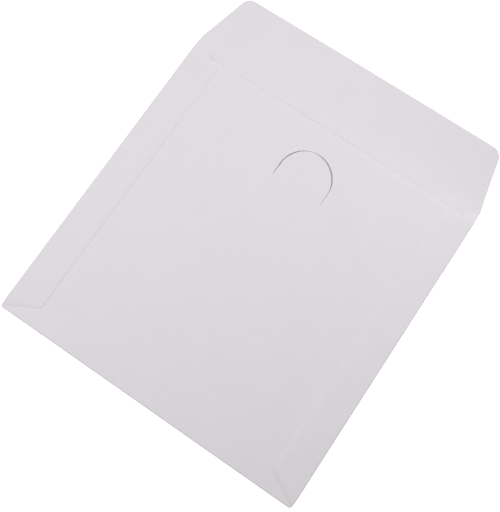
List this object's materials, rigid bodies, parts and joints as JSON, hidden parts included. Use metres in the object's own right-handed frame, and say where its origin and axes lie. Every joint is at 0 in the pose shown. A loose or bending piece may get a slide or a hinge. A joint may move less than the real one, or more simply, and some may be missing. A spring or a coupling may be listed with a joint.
{
  "type": "cd sleeve",
  "caption": "Plain white card sleeve for a 120 mm disc, folded and glued from one blank, with a tapered closing flap, slanted side flaps and an arched tuck-in tongue.",
  "frame": {"origin": "middle of the pocket, on the outer face of the back panel", "axes": "+X across the pocket to the right, +Y from the bottom fold towards the closing flap, +Z out of the front panel"},
  "size_m": [0.125, 0.1495, 0.0059],
  "materials": {
    "white_card": "matt uncoated white card"
  },
  "bodies": {
    "root": {"sleeve": "white_card"}
  },
  "joints": []
}
